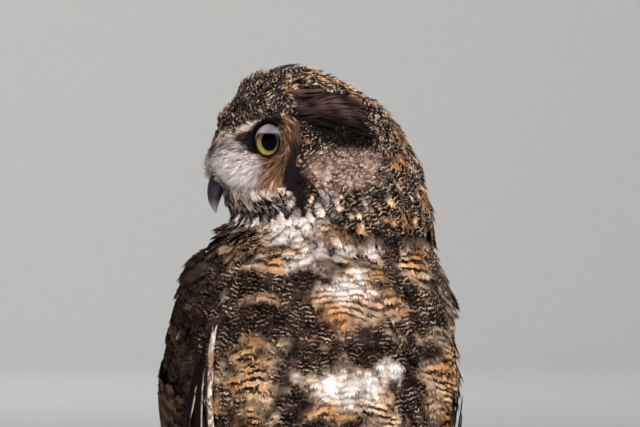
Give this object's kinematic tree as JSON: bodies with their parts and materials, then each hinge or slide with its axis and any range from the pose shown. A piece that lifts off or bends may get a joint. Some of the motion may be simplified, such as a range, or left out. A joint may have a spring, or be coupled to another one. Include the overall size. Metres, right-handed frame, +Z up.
{
  "type": "great horned owl",
  "caption": "Life-size great horned owl standing upright, head turned over its right side, wings folded, tail low behind.",
  "frame": {"origin": "middle of the whole bird's box, at the floor under the feet", "axes": "+Z up, the longest extent; the breast faces -Y, the bird's left side is +X, and the face looks to -X"},
  "size_m": [0.223, 0.291, 0.502],
  "materials": {
    "head_feathers": "soft mottled feathers, dark brown with buff and cream specks",
    "face_feathers": "fine hair-like feathers, tawny behind the eye and pale grey before it, with a black rim",
    "tuft_feathers": "smooth dark brown feathers",
    "body_feathers": "soft loose feathers, dark brown blotches over buff and white, finely barred",
    "wing_feathers": "close flat feathers, dark brown with mottled buff bars",
    "leg_feathers": "short soft feathers, buff with faint brown bars",
    "bill": "smooth slate-black horn, slightly glossy, greyer at the hooked tip",
    "claw": "smooth black horn, slightly glossy",
    "eye": "wet and glossy, olive-yellow iris with a large round black pupil"
  },
  "bodies": {
    "root": {"head": "head_feathers", "neck": "head_feathers", "facial_disc_left": "face_feathers", "facial_disc_right": "face_feathers", "eye_left": "eye", "eye_right": "eye", "ear_tuft_left": "tuft_feathers", "ear_tuft_right": "tuft_feathers", "bill_upper": "bill", "bill_lower": "bill", "trunk": "body_feathers", "wing_left": "wing_feathers", "wing_right": "wing_feathers", "wing_tip_left": "wing_feathers", "wing_tip_right": "wing_feathers", "tail": "wing_feathers", "thigh_left": "leg_feathers", "thigh_right": "leg_feathers", "tarsus_left": "leg_feathers", "tarsus_right": "leg_feathers", "foot_left": "leg_feathers", "foot_right": "leg_feathers", "claw_left_inner": "claw", "claw_left_middle": "claw", "claw_left_outer": "claw", "claw_left_hind": "claw", "claw_right_inner": "claw", "claw_right_middle": "claw", "claw_right_outer": "claw", "claw_right_hind": "claw"}
  },
  "joints": []
}
